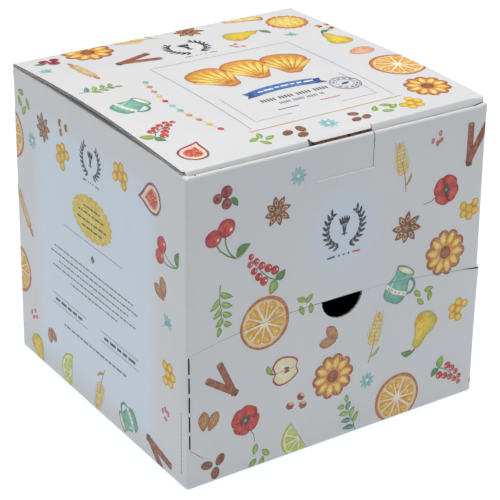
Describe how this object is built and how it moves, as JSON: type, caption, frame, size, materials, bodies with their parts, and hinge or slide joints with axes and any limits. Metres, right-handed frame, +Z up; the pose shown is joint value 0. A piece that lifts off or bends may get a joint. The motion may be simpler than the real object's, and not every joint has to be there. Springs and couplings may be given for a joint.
{
  "type": "box of madeleines",
  "caption": "Shut square carton of small sponge cakes with a bowed lid, rolled board edges, a lock flap, a half-round thumb hole and a tear line.",
  "frame": {"origin": "middle of the foot, on the surface that the carton stands on", "axes": "+Z up, -Y out of the front with the thumb hole, +X to the right as seen from the front"},
  "size_m": [0.2522, 0.2462, 0.2385],
  "materials": {
    "printed_board": "satin",
    "raw_board": "matte",
    "print_ink": "satin"
  },
  "bodies": {
    "root": {"carton": "printed_board"}
  },
  "joints": []
}
